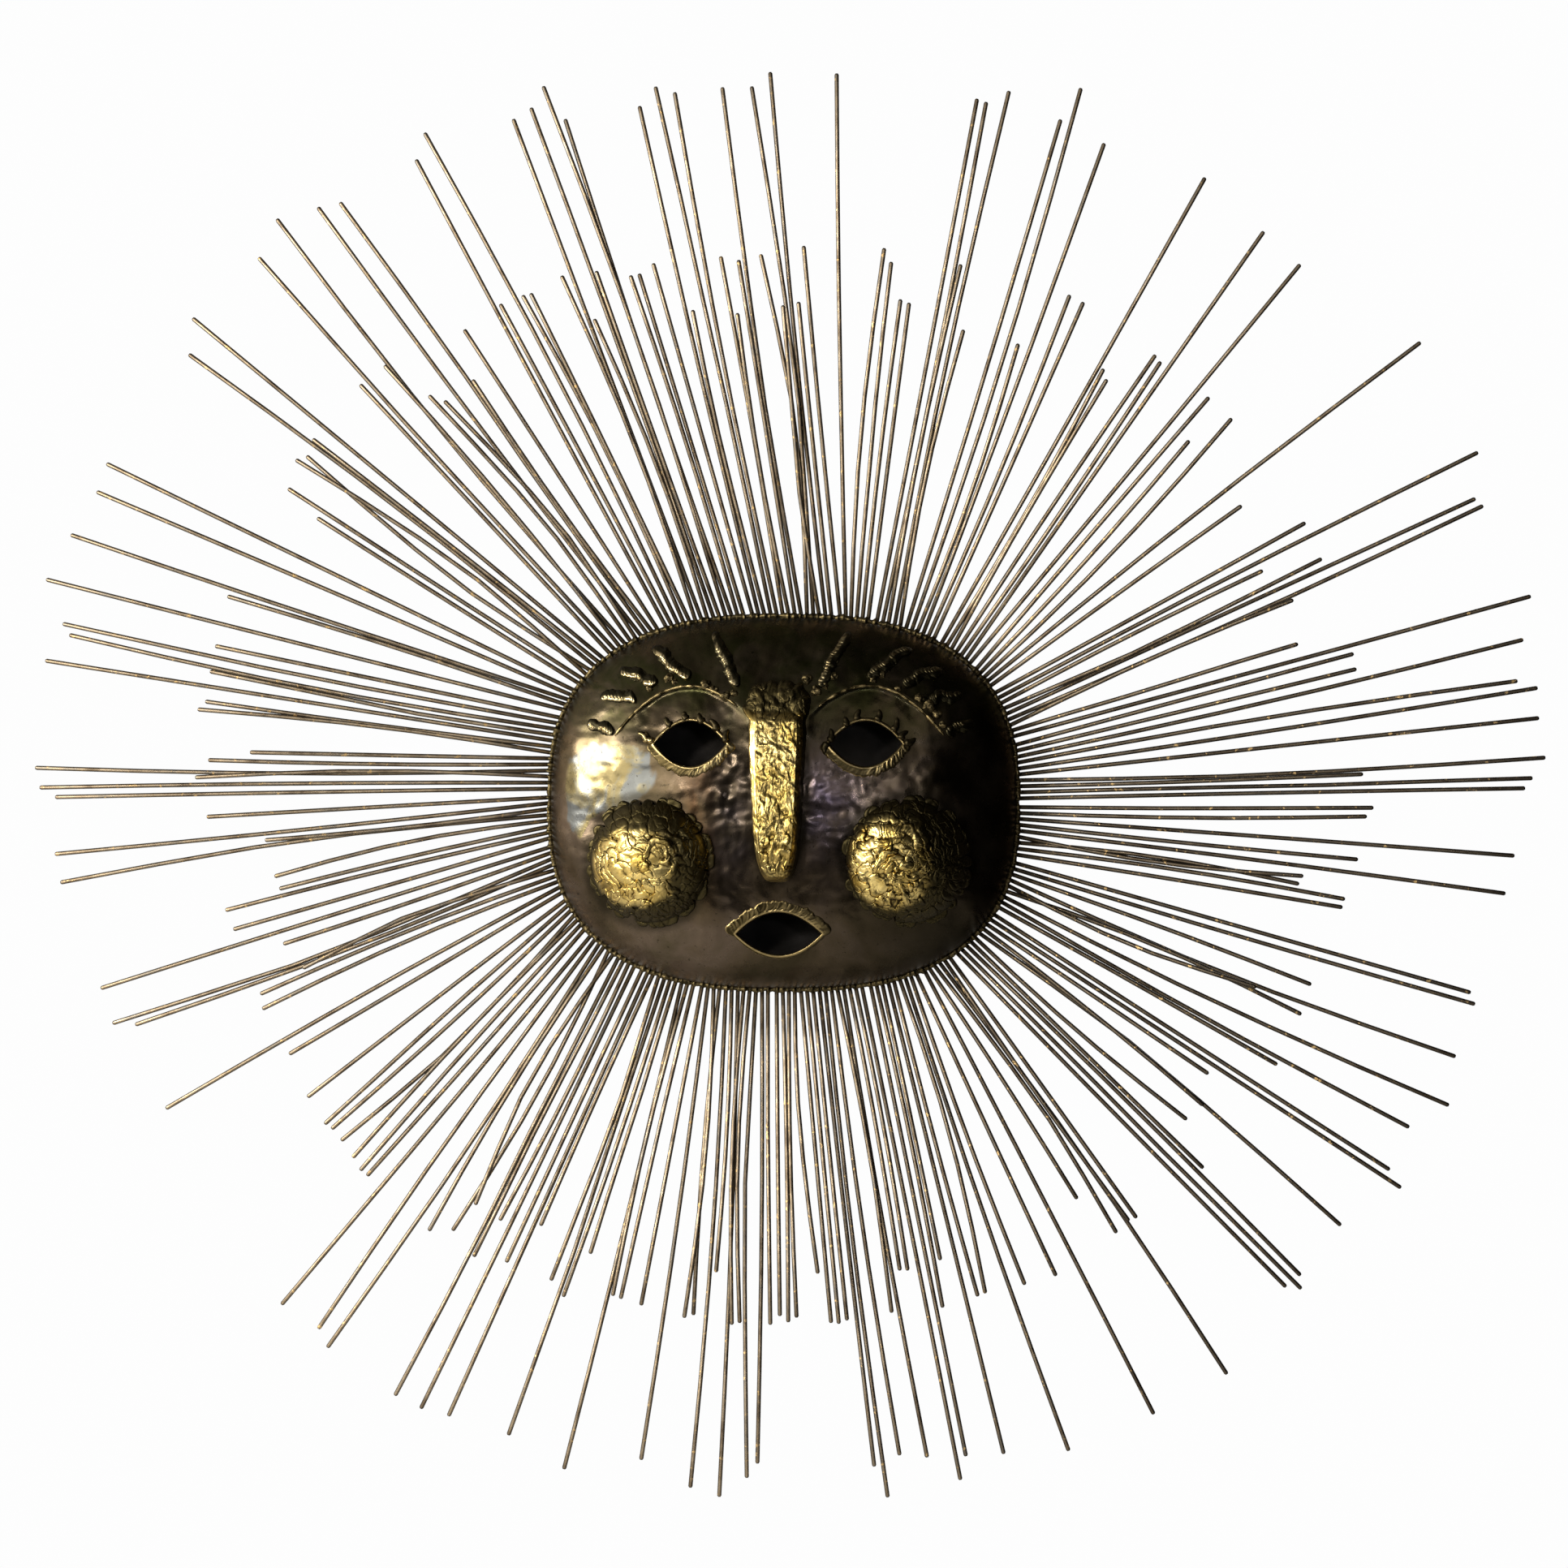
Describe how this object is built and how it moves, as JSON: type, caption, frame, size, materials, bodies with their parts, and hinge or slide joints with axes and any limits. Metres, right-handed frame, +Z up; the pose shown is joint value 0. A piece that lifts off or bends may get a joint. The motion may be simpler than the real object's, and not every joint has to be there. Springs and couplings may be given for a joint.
{
  "type": "sun face wall sculpture",
  "caption": "Wall sculpture of a sun face: a domed hammered metal mask with brazed features, ringed by a burst of metal rods.",
  "frame": {"origin": "on the back sheet's rear face, midway between its two hanging holes, 95 mm above the face's centre", "axes": "+Z up, +X to the right seen from in front, +Y into the wall: the face looks along -Y"},
  "size_m": [1.2223, 0.1036, 1.152],
  "materials": {
    "bronze_sheet": "dark patinated, hammered",
    "back_sheet": "blackened, matt",
    "braze": "bright, rippled braze",
    "rim_braze": "darkened braze, semi-bright",
    "ray_rod": "heat-darkened rod with brassy flecks"
  },
  "bodies": {
    "root": {"face_shell": "bronze_sheet", "back_sheet": "back_sheet", "nose_bar": "braze", "cheek_left": "braze", "cheek_right": "braze", "lips": "rim_braze", "eye_rim_left": "rim_braze", "eye_rim_right": "rim_braze", "brow_wire_left": "rim_braze", "brow_wire_right": "rim_braze", "brow_drip_left_1": "rim_braze", "brow_drip_left_2": "rim_braze", "brow_drip_left_3": "rim_braze", "brow_drip_left_4": "rim_braze", "brow_drip_left_5": "rim_braze", "brow_drip_right_1": "rim_braze", "brow_drip_right_2": "rim_braze", "brow_drip_right_3": "rim_braze", "brow_drip_right_4": "rim_braze", "brow_drip_right_5": "rim_braze", "ray_bundle_01": "ray_rod", "ray_bundle_02": "ray_rod", "ray_bundle_03": "ray_rod", "ray_bundle_04": "ray_rod", "ray_bundle_05": "ray_rod", "ray_bundle_06": "ray_rod", "ray_bundle_07": "ray_rod", "ray_bundle_08": "ray_rod", "ray_bundle_09": "ray_rod", "ray_bundle_10": "ray_rod", "ray_bundle_11": "ray_rod", "ray_bundle_12": "ray_rod", "ray_bundle_13": "ray_rod", "ray_bundle_14": "ray_rod", "ray_bundle_15": "ray_rod", "ray_bundle_16": "ray_rod", "ray_bundle_17": "ray_rod", "ray_bundle_18": "ray_rod", "ray_bundle_19": "ray_rod", "ray_bundle_20": "ray_rod", "ray_bundle_21": "ray_rod", "ray_bundle_22": "ray_rod", "ray_bundle_23": "ray_rod", "ray_bundle_24": "ray_rod"}
  },
  "joints": []
}
